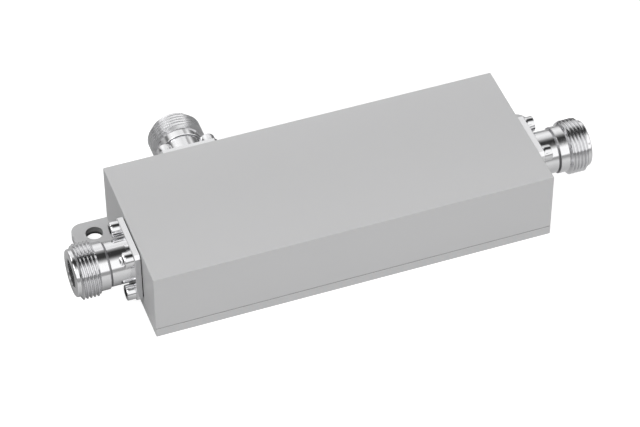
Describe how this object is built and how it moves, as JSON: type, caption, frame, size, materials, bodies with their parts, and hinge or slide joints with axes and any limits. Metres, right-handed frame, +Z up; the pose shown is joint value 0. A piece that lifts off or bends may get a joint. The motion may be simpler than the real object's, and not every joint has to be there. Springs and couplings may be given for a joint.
{
  "type": "directional coupler",
  "caption": "Flat metal box with a threaded coaxial jack on each end and one on a long side, over a base plate with fixing ears; taps off a fixed share of the power passing through.",
  "frame": {"origin": "centre of the closed box's footprint, on the base plate's underside; the ears and the jacks reach past it", "axes": "+X from the input jack to the output jack, +Y to the coupled jack, +Z up from the base plate"},
  "size_m": [0.1542, 0.0653, 0.0223],
  "materials": {
    "coated_housing": "smooth silver-grey coating on milled aluminium",
    "coated_plate": "smooth silver-grey coating on an aluminium plate",
    "plated_jack": "turned brass with bright white-bronze plating",
    "seal_rubber": "thin black sheet",
    "white_bead": "turned white PTFE",
    "plated_contact": "bright silver-plated turned contact",
    "screw_steel": "stainless steel",
    "silver_line": "silver-plated brass conductor",
    "load_metal": "nickel-plated copper flange",
    "load_ceramic": "white alumina ceramic"
  },
  "bodies": {
    "root": {"housing": "coated_housing", "cover_plate": "coated_plate", "cover_screws": "screw_steel", "main_line": "silver_line", "coupled_line": "silver_line", "line_support_input": "white_bead", "line_support_output": "white_bead", "load_flange": "load_metal", "load_resistor": "load_ceramic", "load_tab": "silver_line", "load_screws": "screw_steel", "input_connector": "plated_jack", "input_gasket": "seal_rubber", "input_insulator": "white_bead", "input_contact": "plated_contact", "input_screws": "screw_steel", "output_connector": "plated_jack", "output_gasket": "seal_rubber", "output_insulator": "white_bead", "output_contact": "plated_contact", "output_screws": "screw_steel", "coupled_connector": "plated_jack", "coupled_gasket": "seal_rubber", "coupled_insulator": "white_bead", "coupled_contact": "plated_contact", "coupled_screws": "screw_steel"}
  },
  "joints": []
}
